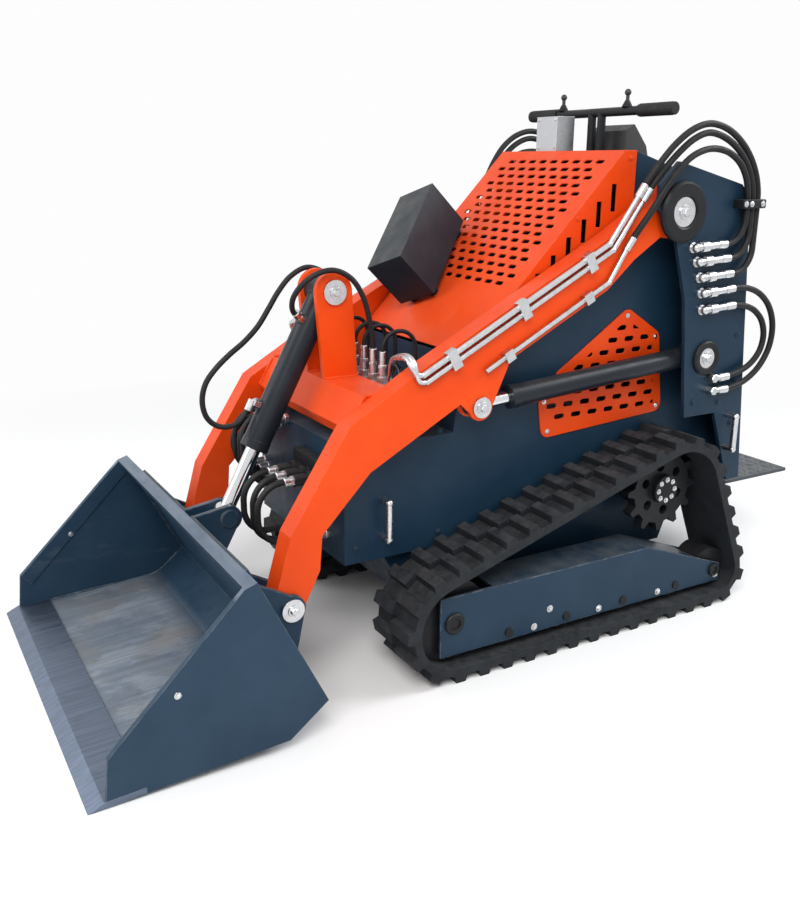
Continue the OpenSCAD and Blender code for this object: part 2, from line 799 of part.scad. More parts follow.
back_dir = unit(bucket_top - bucket_bend);
back_out = [-back_dir[1], back_dir[0]];
function back_point(along, off) = bucket_bend + along * back_dir + off * back_out;
hitch_hw = arm_out + 64;
hitch_t = 12;
hitch_low = 20;
hitch_bar = 110;
hitch_high = 330;
hitch_eye_r = 34;
lug_t = 14;
lug_gap = 2;
rod_ear_in = 24;
rod_ear_t = 14;

module hitch() {
    color(dark) {
        for (side = [-1, 1]) on_side(side) {
            slab(rod_ear_in, hitch_hw) hitch_plate(hitch_low, hitch_high);
            for (y = [arm_in - lug_t - lug_gap, arm_out + lug_gap]) slab(y, y + lug_t) difference() {
                union() {
                    polygon([back_point(30, hitch_t / 2), back_point(270, hitch_t / 2),
                        [bucket_pin_x, bucket_pin_z + hitch_eye_r], [bucket_pin_x - hitch_eye_r, bucket_pin_z]]);
                    translate([bucket_pin_x, bucket_pin_z]) circle(r = hitch_eye_r);
                }
                translate([bucket_pin_x, bucket_pin_z]) circle(r = bucket_pin_r + pin_gap);
            }
            slab(rod_ear_in, rod_ear_in + rod_ear_t) {
                polygon([back_point(180, hitch_t / 2), back_point(hitch_high, hitch_t / 2),
                    [hitch_x, hitch_z + hitch_eye_r], [hitch_x - hitch_eye_r, hitch_z]]);
                translate([hitch_x, hitch_z]) circle(r = hitch_eye_r);
            }
            pin(hitch_x, hitch_z, tilt_pin_r + 6, rod_ear_in + rod_ear_t, rod_ear_in + rod_ear_t + 6);
        }
        slab(-rod_ear_in, rod_ear_in) hitch_plate(hitch_low, hitch_bar);
    }
}

module hitch_plate(low, high) {
    polygon([back_point(low, pin_gap), back_point(high, pin_gap), back_point(high, hitch_t), back_point(low, hitch_t)]);
}

module hitch_pins() {
    color(steel) for (side = [-1, 1]) on_side(side) {
        pin(bucket_pin_x, bucket_pin_z, bucket_pin_r, arm_in - lug_gap - lug_t, arm_out + lug_gap + lug_t);
        pin(bucket_pin_x, bucket_pin_z, bucket_pin_r + 12, arm_out + lug_gap + lug_t, arm_out + lug_gap + lug_t + 8);
    }
}

// Hydraulic cylinders, drawn along +X from the base pin at the origin and then turned into place

lift_base = [lift_base_x, lift_base_z];
lift_tip = [lift_rod_x, lift_rod_z];
tilt_base = [ear_x, ear_z];
tilt_tip = [hitch_x, hitch_z];

module along(base, tip, y) {
    d = tip - base;
    translate([base[0], y, base[1]]) rotate([0, -atan2(d[1], d[0]), 0]) children();
}

gland_l = 24;
gland_proud = 1.5;

module barrel(r, bore_r, l, pin_r, eye_r, eye_w) {
    difference() {
        union() {
            translate([eye_r * 0.6, 0, 0]) rotate([0, 90, 0]) cylinder(r = r, h = l - eye_r * 0.6);
            pin(0, 0, eye_r, -eye_w / 2, eye_w / 2);
            translate([l - gland_l, 0, 0]) rotate([0, 90, 0]) cylinder(r = r + gland_proud, h = gland_l);
        }
        translate([eye_r + 20, 0, 0]) rotate([0, 90, 0]) cylinder(r = bore_r + run_gap, h = l);
        pin(0, 0, pin_r + pin_gap, -eye_w, eye_w);
    }
}

// The rod from its inner end to its eye at the tip
module pole(r, inner, tip, eye_r, eye_w, pin_r) {
    difference() {
        union() {
            translate([inner, 0, 0]) rotate([0, 90, 0]) cylinder(r = r, h = tip - inner - eye_r * 0.6);
            pin_at(tip, eye_r, eye_w);
        }
        pin_at(tip, pin_r + 1, eye_w * 2);
    }
}

module pin_at(x, r, w) {
    translate([x, w / 2, 0]) rotate([90, 0, 0]) cylinder(r = r, h = w);
}

lift_eye_w = arm_w - 2 * tab_t - 5;

module lift_barrel(side) {
    color(black) on_side(side) along(lift_base, lift_tip, arm_mid)
        barrel(lift_barrel_r, lift_pole_r, norm(lift_tip - lift_base) - lift_show, lift_pin_r, 34, arm_w - 2);
}

module lift_rod(side) {
    color(steel) on_side(side) along(lift_base, lift_tip, arm_mid)
        pole(lift_pole_r, 90, norm(lift_tip - lift_base), lift_eye_r, lift_eye_w, lift_pin_r);
}

module tilt_barrel() {
    color(black) along(tilt_base, tilt_tip, 0)
        barrel(tilt_barrel_r, tilt_pole_r, norm(tilt_tip - tilt_base) - tilt_show, tilt_pin_r, 40, 2 * ear_in - 4);
}

module tilt_rod() {
    color(steel) along(tilt_base, tilt_tip, 0)
        pole(tilt_pole_r, 130, norm(tilt_tip - tilt_base), 30, 2 * rod_ear_in - 4, tilt_pin_r);
}

// Stand-on platform, hinged behind the body

module platform() {
    color(dark) {
        translate([platform_rear_x, -platform_hw, hinge_z - platform_t / 2])
            cube([hinge_x - knuckle_r - hinge_gap - platform_rear_x, 2 * platform_hw, platform_t]);
        for (y = platform_knuckles) {
            translate([hinge_x - knuckle_r - 12, y - platform_knuckle_hw, hinge_z - platform_t / 2])
                cube([knuckle_r + 12, 2 * platform_knuckle_hw, platform_t]);
            pin(hinge_x, hinge_z, knuckle_r, y - platform_knuckle_hw, y + platform_knuckle_hw);
        }
        pin(hinge_x, hinge_z, hinge_pin_r, platform_knuckles[0], platform_knuckles[2]);
    }
}

floor_plate();
belly_frame();
front_panel();
side_panel(1);  // side_panel_left
side_panel(-1);  // side_panel_right
rear_panel();
console_cover();
tower(1);  // tower_left
tower(-1);  // tower_right
hood_cover();
hood_side(1);  // hood_side_left
hood_side(-1);  // hood_side_right
side_grille(1);  // side_grille_left
side_grille(-1);  // side_grille_right
engine_block();
hood_box();
handlebar();
control_box();
levers();
gauge_pod();
hose_fittings();
tie_downs();
couplers();
drive_motors();
sprocket(1);  // sprocket_left
sprocket(-1);  // sprocket_right
track_frame(1);  // track_frame_left
track_frame(-1);  // track_frame_right
rollers(1);  // rollers_left
rollers(-1);  // rollers_right
track(1);  // track_left
track(-1);  // track_right
pivot_pins();
arm(1);  // arm_left
arm(-1);  // arm_right
cross_beam();
tilt_ears();
arm_pins();
arm_lines();
manifold();
bucket_shell();
cutting_edge();
hitch();
hitch_pins();
lift_barrel(1);  // lift_barrel_left
lift_barrel(-1);  // lift_barrel_right
lift_rod(1);  // lift_rod_left
lift_rod(-1);  // lift_rod_right
tilt_barrel();
tilt_rod();
platform();
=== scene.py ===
"""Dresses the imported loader: materials for every CAD node, then fasteners, hydraulic lines, hoses and trim.
Places are in millimetres in the CAD's frame: x to the front, y to the left and z up."""
import math
import random

import bmesh
import bpy
from mathutils import Matrix, Vector


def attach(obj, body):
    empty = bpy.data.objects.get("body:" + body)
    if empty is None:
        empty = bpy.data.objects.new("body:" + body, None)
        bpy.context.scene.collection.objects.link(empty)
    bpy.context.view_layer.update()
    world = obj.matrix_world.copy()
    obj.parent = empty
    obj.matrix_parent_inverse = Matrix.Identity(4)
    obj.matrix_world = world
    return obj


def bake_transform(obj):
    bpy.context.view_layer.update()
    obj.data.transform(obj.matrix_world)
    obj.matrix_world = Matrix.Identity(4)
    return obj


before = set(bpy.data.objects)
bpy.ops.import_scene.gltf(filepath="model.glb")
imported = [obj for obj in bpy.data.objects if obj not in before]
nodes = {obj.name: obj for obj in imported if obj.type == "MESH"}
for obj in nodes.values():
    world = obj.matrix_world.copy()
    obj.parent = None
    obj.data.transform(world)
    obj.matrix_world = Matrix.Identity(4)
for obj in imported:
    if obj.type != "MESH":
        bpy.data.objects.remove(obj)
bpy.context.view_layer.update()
scene = bpy.context.scene
rng = random.Random(7)
MM = 0.001

# Camera at the photograph's place, for a picture of 800 by 908
PICTURE_WIDTH, SENSOR_WIDTH, FOCAL_PX = 800.0, 36.0, 952.68
AZIMUTH, PITCH, ROLL = math.radians(149.93), math.radians(16.916), math.radians(0.30)
CAMERA_AT = Vector((1.4175, 2.1990, 1.2371))
cam = bpy.data.cameras.new("photo_camera")
cam.sensor_fit = "HORIZONTAL"
cam.sensor_width = SENSOR_WIDTH
cam.lens = FOCAL_PX * SENSOR_WIDTH / PICTURE_WIDTH
cam_obj = bpy.data.objects.new("photo_camera", cam)
scene.collection.objects.link(cam_obj)
back = Vector((math.sin(AZIMUTH) * math.cos(PITCH), -math.cos(AZIMUTH) * math.cos(PITCH), math.sin(PITCH)))
right = (-back).cross(Vector((0, 0, 1))).normalized()
up = right.cross(-back)
r_vec = math.cos(ROLL) * right + math.sin(ROLL) * up
u_vec = -math.sin(ROLL) * right + math.cos(ROLL) * up
cam_turn = Matrix((r_vec, u_vec, back)).transposed().to_4x4()
cam_obj.matrix_world = Matrix.Translation(CAMERA_AT) @ cam_turn
scene.camera = cam_obj
scene.view_settings.view_transform = "Standard"


# Materials

# The rubber's pale colour on what faces up is dust and a painted highlight together.
DUST, RUBBER_DUST_AND_HIGHLIGHT, GRIME = (0.30, 0.275, 0.24), (0.13, 0.132, 0.135), (0.05, 0.045, 0.04)


class Tree:
    """A material's node tree with short calls for what is used here."""

    def __init__(self, name):
        self.mat = bpy.data.materials.new(name)
        self.mat.use_nodes = True
        self.nt = self.mat.node_tree
        self.nt.nodes.clear()
        self.out = self.nt.nodes.new("ShaderNodeOutputMaterial")
        self.bsdf = self.nt.nodes.new("ShaderNodeBsdfPrincipled")
        self.link(self.bsdf.outputs[0], self.out.inputs[0])
        places = self.nt.nodes.new("ShaderNodeTexCoord")
        self.coords = places.outputs["Object"]
        self.normals = places.outputs["Normal"]

    def link(self, a, b):
        self.nt.links.new(a, b)

    def node(self, kind, **values):
        n = self.nt.nodes.new(kind)
        for k, v in values.items():
            setattr(n, k, v)
        return n

    def stretched(self, scale):
        n = self.node("ShaderNodeMapping")
        n.inputs["Scale"].default_value = scale
        self.link(self.coords, n.inputs["Vector"])
        return n.outputs[0]

    def noise(self, scale, detail=4.0, rough=0.55, stretch=None):
        n = self.node("ShaderNodeTexNoise")
        n.inputs["Scale"].default_value = scale
        n.inputs["Detail"].default_value = detail
        n.inputs["Roughness"].default_value = rough
        self.link(self.stretched(stretch) if stretch else self.coords, n.inputs["Vector"])
        return n.outputs[0]

    def ramp(self, value, lo, hi, a=0.0, b=1.0):
        n = self.node("ShaderNodeMapRange")
        n.inputs["From Min"].default_value = lo
        n.inputs["From Max"].default_value = hi
        n.inputs["To Min"].default_value = a
        n.inputs["To Max"].default_value = b
        self.link(value, n.inputs["Value"])
        return n.outputs[0]

    def math(self, op, a, b=None):
        n = self.node("ShaderNodeMath", operation=op)
        for i, v in enumerate((a, b)):
            if v is None:
                continue
            if isinstance(v, (int, float)):
                n.inputs[i].default_value = v
            else:
                self.link(v, n.inputs[i])
        return n.outputs[0]

    def mix(self, factor, a, b):
        n = self.node("ShaderNodeMix", data_type="RGBA")
        for i, v in ((0, factor), (6, a), (7, b)):
            if isinstance(v, tuple):
                n.inputs[i].default_value = (*v, 1.0)
            else:
                self.link(v, n.inputs[i])
        return n.outputs[2]

    def split(self, vector):
        s = self.node("ShaderNodeSeparateXYZ")
        self.link(vector, s.inputs[0])
        return s.outputs

    def facing_up(self):
        """The height of the piece's own normal, so that it turns with the piece."""
        return self.split(self.normals)[2]

    def edges(self, radius):
        """1 along an edge and 0 on a flat face, with the rounded normal."""
        bev = self.node("ShaderNodeBevel", samples=4)
        bev.inputs["Radius"].default_value = radius
        g = self.node("ShaderNodeNewGeometry")
        d = self.node("ShaderNodeVectorMath", operation="DOT_PRODUCT")
        self.link(bev.outputs[0], d.inputs[0])
        self.link(g.outputs["Normal"], d.inputs[1])
        return self.ramp(d.outputs["Value"], 0.995, 0.9), bev.outputs[0]

    def bump(self, height, strength, distance, normal):
        n = self.node("ShaderNodeBump")
        n.inputs["Strength"].default_value = strength
        n.inputs["Distance"].default_value = distance
        self.link(height, n.inputs["Height"])
        self.link(normal, n.inputs["Normal"])
        self.link(n.outputs[0], self.bsdf.inputs["Normal"])

    def colour(self, c):
        self.link(c, self.bsdf.inputs["Base Color"])

    def rough(self, r):
        self.link(r, self.bsdf.inputs["Roughness"])

    def specular(self, level):
        self.bsdf.inputs["Specular IOR Level"].default_value = level


def paint(name, base, shade, worn, rough=(0.32, 0.5), dust=0.12, wear=0.5, edge=0.0025):
    """Sprayed paint: mottled colour, dust on what faces up, edges rubbed through, fine orange peel."""
    t = Tree(name)
    mottled = t.mix(t.ramp(t.noise(5, 6), 0.35, 0.7), base, shade)
    speck = t.ramp(t.noise(90, 5, 0.7), 0.60, 0.78, 0, 0.35)
    mottled = t.mix(speck, mottled, shade)
    top = t.ramp(t.facing_up(), 0.2, 0.95)
    up_facing_mix = t.math("MULTIPLY", t.math("MULTIPLY", top, t.ramp(t.noise(14, 8, 0.65), 0.3, 0.75)), dust)
    mottled = t.mix(up_facing_mix, mottled, DUST)
    line, soft = t.edges(edge)
    broken = t.math("MULTIPLY", line, t.ramp(t.noise(38, 6, 0.7), 0.42, 0.62, 0, wear))
    t.colour(t.mix(broken, mottled, worn))
    t.rough(t.ramp(t.noise(22, 5), 0.3, 0.7, *rough))
    t.specular(0.2)
    t.bump(t.noise(420, 2), 0.06, 0.0006, soft)
    return t.mat


def metal(name, base, shade, rough=(0.22, 0.42), stretch=(1, 1, 1), streak=60.0, dirt=0.4):
    """Bare or plated metal: fine streaks, darker grime in patches."""
    t = Tree(name)
    tone = t.mix(t.ramp(t.noise(streak, 6, 0.6, stretch), 0.3, 0.7), base, shade)
    t.colour(t.mix(t.ramp(t.noise(16, 8, 0.7), 0.55, 0.85, 0, dirt), tone, GRIME))
    t.rough(t.ramp(t.noise(streak * 1.7, 5, 0.6, stretch), 0.3, 0.7, *rough))
    t.bsdf.inputs["Metallic"].default_value = 1.0
    _, soft = t.edges(0.0012)
    t.bump(t.noise(streak * 3, 3, 0.5, stretch), 0.08, 0.0005, soft)
    return t.mat


def rubber(name, base, pale, rough=(0.62, 0.85), grain=260.0, dust=0.3):
    """Moulded rubber: dull, with dust and a painted highlight where it faces up, slightly pebbled."""
    t = Tree(name)
    t.specular(0.25)
    tone = t.mix(t.ramp(t.noise(9, 8, 0.7), 0.35, 0.75), base, pale)
    # Dust and a painted highlight on what faces up, in noisy patches.
    top = t.ramp(t.facing_up(), -0.2, 0.9)
    up_facing_mix = t.math("MULTIPLY", t.math("MULTIPLY", top, t.ramp(t.noise(30, 7, 0.7), 0.35, 0.7)), dust)
    line, soft = t.edges(0.003)
    tone = t.mix(t.math("MULTIPLY", line, 0.35), tone, pale)
    t.colour(t.mix(up_facing_mix, tone, RUBBER_DUST_AND_HIGHLIGHT))
    t.rough(t.ramp(t.noise(40, 4), 0.3, 0.7, *rough))
    t.bump(t.noise(grain, 3, 0.6), 0.25, 0.0012, soft)
    return t.mat


def plastic(name, base, pale):
    """Moulded plastic: fine grain, edges rubbed pale."""
    t = Tree(name)
    line, soft = t.edges(0.0015)
    tone = t.mix(t.ramp(t.noise(12, 5), 0.35, 0.7), base, pale)
    t.colour(t.mix(t.math("MULTIPLY", line, 0.3), tone, pale))
    t.rough(t.ramp(t.noise(60, 3), 0.3, 0.7, 0.4, 0.6))
    t.bump(t.noise(700.0, 2), 0.15, 0.0004, soft)
    return t.mat


def bucket_paint():
    """Slate paint, scoured to bare steel on the floor, its underside and the lip, with scratches front to back,
    and a painted highlight on the top face of the rail.
    """
    t = Tree("bucket_paint")
    x, y, z = t.split(t.coords)
    base = t.mix(t.ramp(t.noise(5, 6), 0.35, 0.7), (0.014, 0.037, 0.068), (0.022, 0.050, 0.086))
    top = t.ramp(t.facing_up(), 0.5, 0.9)
    low = t.ramp(z, 0.13, 0.05)
    ahead = t.ramp(x, 0.70, 0.78)
    inside = t.ramp(t.math("ABSOLUTE", y), 0.503, 0.498)
    patch = t.ramp(t.noise(6, 8, 0.62, (0.6, 1.0, 1.0)), 0.40, 0.56)
    fade = t.math("MULTIPLY", t.math("MULTIPLY", top, low), t.math("MULTIPLY", ahead, inside))
    scour = t.math("MULTIPLY", fade, t.math("MAXIMUM", patch, 0.7))
    below = t.math("MULTIPLY", t.ramp(t.facing_up(), -0.6, -0.95), t.ramp(patch, 0.0, 1.0, 0.1, 0.5))
    scour = t.math("MAXIMUM", scour, below)
    scratch = t.ramp(t.noise(30, 6, 0.7, (0.05, 4.0, 1.0)), 0.35, 0.7)
    bare = t.mix(scratch, (0.19, 0.225, 0.28), (0.34, 0.385, 0.44))
    bare = t.mix(t.ramp(t.noise(11, 9, 0.75), 0.54, 0.72, 0, 0.5), bare, (0.12, 0.13, 0.15))
    line, soft = t.edges(0.003)
    worn = t.math("MULTIPLY", line, t.ramp(t.noise(30, 6, 0.7), 0.36, 0.6, 0.15, 0.75))
    thin = t.ramp(t.noise(26, 6, 0.75, (0.08, 2.2, 0.4)), 0.60, 0.72, 0, 0.4)
    painted = t.mix(t.math("MULTIPLY", thin, t.ramp(z, 0.45, 0.1)), base, (0.10, 0.125, 0.155))
    painted = t.mix(worn, painted, (0.24, 0.27, 0.31))
    # Painted highlight: the rail's up-facing top is lightened to a pale slate, broken by noise.
    rail_highlight = t.math("MULTIPLY", t.ramp(z, 0.385, 0.395), t.ramp(t.facing_up(), 0.05, 0.5))
    rail_highlight = t.math("MULTIPLY", rail_highlight, t.ramp(t.noise(18, 7, 0.65, (1.0, 0.25, 1.0)), 0.25, 0.6, 0.35, 0.9))
    painted = t.mix(rail_highlight, painted, (0.17, 0.205, 0.26))
    mud = t.ramp(t.noise(4.2, 7, 0.6), 0.50, 0.60, 0, 0.5)
    bare = t.mix(mud, bare, (0.30, 0.275, 0.25))
    t.colour(t.mix(scour, painted, bare))
    t.rough(t.ramp(t.noise(24, 5), 0.3, 0.7, 0.34, 0.55))
    t.link(t.math("MULTIPLY", scour, 0.35), t.bsdf.inputs["Metallic"])
    t.specular(0.22)
    t.bump(t.noise(120, 4, 0.6, (0.2, 1.0, 1.0)), 0.10, 0.0008, soft)
    return t.mat


ORANGE = paint("orange_paint", (0.80, 0.070, 0.004), (0.70, 0.052, 0.003), (0.90, 0.30, 0.13), wear=0.35)
SLATE = paint("slate_paint", (0.007, 0.025, 0.050), (0.012, 0.034, 0.062), (0.10, 0.13, 0.16), dust=0.2)
GUARD = paint("guard_paint", (0.010, 0.031, 0.060), (0.016, 0.041, 0.074), (0.22, 0.25, 0.28),
              dust=0.3, wear=0.9, edge=0.005)
BOX = paint("box_paint", (0.009, 0.016, 0.024), (0.014, 0.022, 0.032), (0.09, 0.10, 0.12), dust=0.3)
BLACK = paint("black_paint", (0.008, 0.009, 0.011), (0.014, 0.015, 0.018), (0.07, 0.07, 0.075), dust=0.1)
BARREL = paint("barrel_paint", (0.010, 0.014, 0.020), (0.016, 0.021, 0.028), (0.08, 0.09, 0.10), (0.25, 0.4), 0.1)
BUCKET = bucket_paint()
TREAD = paint("tread_plate", (0.044, 0.054, 0.066), (0.066, 0.078, 0.090), (0.20, 0.215, 0.235),
              dust=0.25, wear=0.6)
STUD = paint("stud_paint", (0.075, 0.088, 0.102), (0.15, 0.16, 0.175), (0.30, 0.31, 0.33), wear=0.9, edge=0.0015)
RUBBER = rubber("track_rubber", (0.007, 0.009, 0.012), (0.020, 0.024, 0.029))
HOSE = rubber("hose_rubber", (0.007, 0.007, 0.008), (0.015, 0.015, 0.017), (0.42, 0.62), 900.0, 0.1)
GRIP = rubber("grip_rubber", (0.010, 0.010, 0.011), (0.022, 0.022, 0.024), (0.5, 0.7), 600.0, 0.1)
PLASTIC = plastic("black_plastic", (0.012, 0.012, 0.013), (0.030, 0.030, 0.032))
EDGE = metal("edge_steel", (0.18, 0.22, 0.295), (0.12, 0.15, 0.20), (0.36, 0.54), (0.1, 3.0, 1.0), 40.0)
ZINC = metal("zinc_plate", (0.66, 0.67, 0.68), (0.52, 0.53, 0.55), (0.22, 0.36), dirt=0.25)
CHROME = metal("chrome_rod", (0.72, 0.73, 0.75), (0.64, 0.65, 0.67), (0.06, 0.14), (1, 1, 6), 90.0, dirt=0.12)
CAST = metal("engine_cast", (0.20, 0.20, 0.21), (0.13, 0.13, 0.14), (0.5, 0.7))
ALLOY = metal("panel_alloy", (0.56, 0.57, 0.59), (0.46, 0.47, 0.49), (0.28, 0.42), (1, 6, 1), 80.0, dirt=0.15)

MATERIALS = {
    "hood_cover": ORANGE, "cross_beam": ORANGE, "tilt_ears": ORANGE,
    "floor_plate": SLATE, "belly_frame": SLATE, "front_panel": SLATE, "rear_panel": SLATE, "console_cover": SLATE,
    "hood_box": BOX, "bucket_shell": BUCKET, "hitch": GUARD, "platform": TREAD, "handlebar": BLACK,
    "drive_motors": BLACK, "tilt_barrel": BARREL, "levers": PLASTIC, "cutting_edge": EDGE, "pivot_pins": ZINC,
    "hitch_pins": ZINC, "control_box": ALLOY, "tilt_rod": CHROME, "engine_block": CAST, "arm_pins": ZINC,
    "arm_lines": ZINC, "manifold": ALLOY, "hose_fittings": ZINC, "tie_downs": ZINC, "couplers": BLACK,
    "gauge_pod": PLASTIC,
}
PAIRS = {
    "hood_side": ORANGE, "side_grille": ORANGE, "arm": ORANGE, "side_panel": SLATE, "tower": SLATE,
    "track_frame": GUARD, "sprocket": BLACK, "lift_barrel": BARREL, "rollers": BLACK, "lift_rod": CHROME,
    "track": RUBBER,
}
for stem, material in PAIRS.items():
    for side in ("left", "right"):
        MATERIALS[f"{stem}_{side}"] = material
for name, obj in nodes.items():
    obj.data.materials.clear()
    obj.data.materials.append(MATERIALS[name])


# Ways to make a piece

STEP = 6.0  # between the points of a hose's path


def dressed(name, data, material, body):
    """A piece from a mesh or curve; body is None where the piece is left attached to no body."""
    data.materials.append(material)
    obj = bpy.data.objects.new(name, data)
    scene.collection.objects.link(obj)
    if body:
        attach(obj, body)
    return obj


def piece(name, bm, material, body):
    """A piece from bm, in millimetres, smooth between its sharp edges."""
    mesh = bpy.data.meshes.new(name)
    bmesh.ops.recalc_face_normals(bm, faces=bm.faces)
    bm.transform(Matrix.Scale(MM, 4))
    bm.to_mesh(mesh)
    bm.free()
    mesh.shade_smooth()
    mesh.set_sharp_from_angle(angle=math.radians(35))
    return dressed(name, mesh, material, body)


def tube(name, points, radius, material, body):
    """A round tube along points in millimetres, through all of them."""
    curve = bpy.data.curves.new(name, "CURVE")
    curve.dimensions = "3D"
    curve.bevel_depth = radius * MM
    curve.bevel_resolution = 4
    curve.resolution_u = 10
    curve.use_fill_caps = True
    spline = curve.splines.new("BEZIER")
    spline.bezier_points.add(len(points) - 1)
    for b, p in zip(spline.bezier_points, points):
        b.co = Vector(p) * MM
        b.handle_left_type = b.handle_right_type = "AUTO"
    dressed(name, curve, material, body)


def smooth_path(points, step=STEP):
    """Points about a step apart on a curve through the given ones."""
    pts = [Vector(q) for q in points]
    pts = [2 * pts[0] - pts[1], *pts, 2 * pts[-1] - pts[-2]]
    path = [pts[1].copy()]
    for a, b, c, d in zip(pts, pts[1:], pts[2:], pts[3:]):
        ta = (b - a).length ** 0.5
        tb = ta + (c - b).length ** 0.5
        tc = tb + (d - c).length ** 0.5
        count = max(2, round((c - b).length / step))
        for i in range(1, count + 1):
            u = ta + (tb - ta) * i / count
            p1 = a.lerp(b, u / ta)
            p2 = b.lerp(c, (u - ta) / (tb - ta))
            p3 = c.lerp(d, (u - tb) / (tc - tb))
            path.append(p1.lerp(p2, u / tb).lerp(p2.lerp(p3, (u - ta) / (tc - ta)), (u - ta) / (tb - ta)))
    return path


def rounded(points, r):
    """Points about a step apart on straight runs whose corners are arcs of radius r."""
    pts = [Vector(q) for q in points]
    marks = [pts[0]]
    for a, b, c in zip(pts, pts[1:], pts[2:]):
        u, v = (b - a).normalized(), (c - b).normalized()
        turn = u.angle(v)
        begin = b - u * r * math.tan(turn / 2)
        centre = begin + (v - u * u.dot(v)).normalized() * r
        count = math.ceil(r * turn / STEP)
        marks += [centre + Matrix.Rotation(turn * i / count, 3, u.cross(v)) @ (begin - centre)
                  for i in range(count + 1)]
    marks.append(pts[-1])
    path = [marks[0]]
    for a, b in zip(marks, marks[1:]):
        count = max(1, round((b - a).length / STEP))
        path += [a.lerp(b, i / count) for i in range(1, count + 1)]
    return path


def angles(sides):
    return [2 * math.pi * i / sides for i in range(sides)]


def add_loop(bm, m, a, b, z, sides):
    """Vertices on an ellipse of half-axes a and b, at height z in the frame m."""
    return [bm.verts.new(m @ Vector((a * math.cos(k), b * math.sin(k), z))) for k in angles(sides)]


def skin(bm, loops):
    """Faces from each loop of vertices to the next."""
    for lo, hi in zip(loops, loops[1:]):
        n = len(lo)
        for i in range(n):
            bm.faces.new((lo[i], lo[(i + 1) % n], hi[(i + 1) % n], hi[i]))


def closed_skin(bm, loops):
    """The same, with a face over each end."""
    skin(bm, loops)
    bm.faces.new(list(reversed(loops[0])))
    bm.faces.new(loops[-1])


def frame_at(point, axis):
    """A frame at a point, with its height along axis."""
    turned = Vector((0, 0, 1)).rotation_difference(Vector(axis).normalized())
    return Matrix.Translation(Vector(point)) @ turned.to_matrix().to_4x4()


def add_sweep(bm, path, radius, sides=14):
    """A closed tube along a dense path; radius is a number or a function of the length so far."""
    loops = []
    normal = None
    run = 0.0
    for i, q in enumerate(path):
        ahead = (path[min(i + 1, len(path) - 1)] - path[max(i - 1, 0)]).normalized()
        normal = ahead.orthogonal() if normal is None else normal - ahead * normal.dot(ahead)
        normal.normalize()
        across = ahead.cross(normal)
        if i:
            run += (q - path[i - 1]).length
        r = radius(run) if callable(radius) else radius
        loops.append([bm.verts.new(q + r * (math.cos(k) * normal + math.sin(k) * across)) for k in angles(sides)])
    closed_skin(bm, loops)


def add_cylinder(bm, start, axis, r, h, sides, r2=None, chamfer=0.0):
    """A cylinder or cone that runs h along axis from start, with its far rim chamfered."""
    m = frame_at(start, axis)
    r2 = r if r2 is None else r2
    rims = [(r, 0.0), (r2, h - chamfer), (r2 - chamfer, h)] if chamfer else [(r, 0.0), (r2, h)]
    closed_skin(bm, [add_loop(bm, m, q, q, z, sides) for q, z in rims])


def add_ring(bm, centre, axis, profile, sides=32):
    """A solid of revolution from a closed profile of (radius, height)."""
    m = frame_at(centre, axis)
    loops = [add_loop(bm, m, r, r, z, sides) for r, z in profile]
    skin(bm, [*loops, loops[0]])


def add_box(bm, low, high, bevel, matrix=None):
    """A box with rounded edges, placed by matrix."""
    made = bmesh.ops.create_cube(bm, size=1.0)["verts"]
    low, high = Vector(low), Vector(high)
    for v in made:
        v.co = Vector(tuple((low[i] + high[i]) / 2 + v.co[i] * (high[i] - low[i]) for i in range(3)))
    edges = list({e for v in made for e in v.link_edges})
    grown = bmesh.ops.bevel(bm, geom=edges, offset=bevel, segments=2, affect="EDGES", profile=0.6)
    if matrix is not None:
        verts = {v for f in grown["faces"] for v in f.verts}
        stack = list(verts)
        while stack:
            v = stack.pop()
            for e in v.link_edges:
                w = e.other_vert(v)
                if w not in verts:
                    verts.add(w)
                    stack.append(w)
        for v in verts:
            v.co = matrix @ v.co


def hose(name, points, r, body, bend=None, corner=None):
    """A hydraulic hose held at both ends, in one curve through its points or straight with corners of one radius;
    bend, when given, leaves the hose fixed where it is made, attached to no body; its points are not used."""
    path = rounded(points, corner) if corner else smooth_path(points)
    bm = bmesh.new()
    add_sweep(bm, path, r)
    obj = piece(name, bm, HOSE, None if bend else body)
    if bend:
        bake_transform(obj)


def nut(bm, start, axis, r, h, chamfer=2):
    """A hose end's hexagon nut."""
    add_cylinder(bm, start, axis, r, h, 6, chamfer=chamfer)


def sleeve(bm, start, axis, r, h, chamfer=1.5):
    """A hose end's crimped sleeve."""
    add_cylinder(bm, start, axis, r, h, 20, chamfer=chamfer)


def weld(bm, points, r):
    """A weld bead: a low rippled rope along a seam."""
    path = smooth_path(points, 1.5)
    add_sweep(bm, path, lambda run: r * (0.86 + 0.14 * abs(math.sin(run * math.pi / (r * 1.1)))), 8)


def bolts(name, places, r, material, body):
    """Hexagon bolt heads on washers, each at (point on the face, the face's normal)."""
    sunk, washer = 0.5, r * 0.28
    bm = bmesh.new()
    for point, axis in places:
        axis = Vector(axis).normalized()
        add_cylinder(bm, Vector(point) - axis * sunk, axis, r * 1.55, washer + sunk, 24, chamfer=0.4)
        spin = Matrix.Rotation(rng.uniform(0, 1.05), 4, "Z")
        m = frame_at(Vector(point) + axis * washer, axis) @ spin
        rims = ((r, 0), (r, r * 0.55), (0.86 * r, r * 0.68))
        closed_skin(bm, [add_loop(bm, m, q, q, z, 6) for q, z in rims])
    piece(name, bm, material, body)


def on_side(s, y, places):
    """Bolt places on an outward face at y, from (x, z)."""
    return [((x, s * y, z), (0, s, 0)) for x, z in places]


def mirrored(s, points):
    return [(x, s * y, z) for x, y, z in points]


FRONT, REAR, UP = (1, 0, 0), (-1, 0, 0), (0, 0, 1)
SIDES = (("left", 1), ("right", -1))

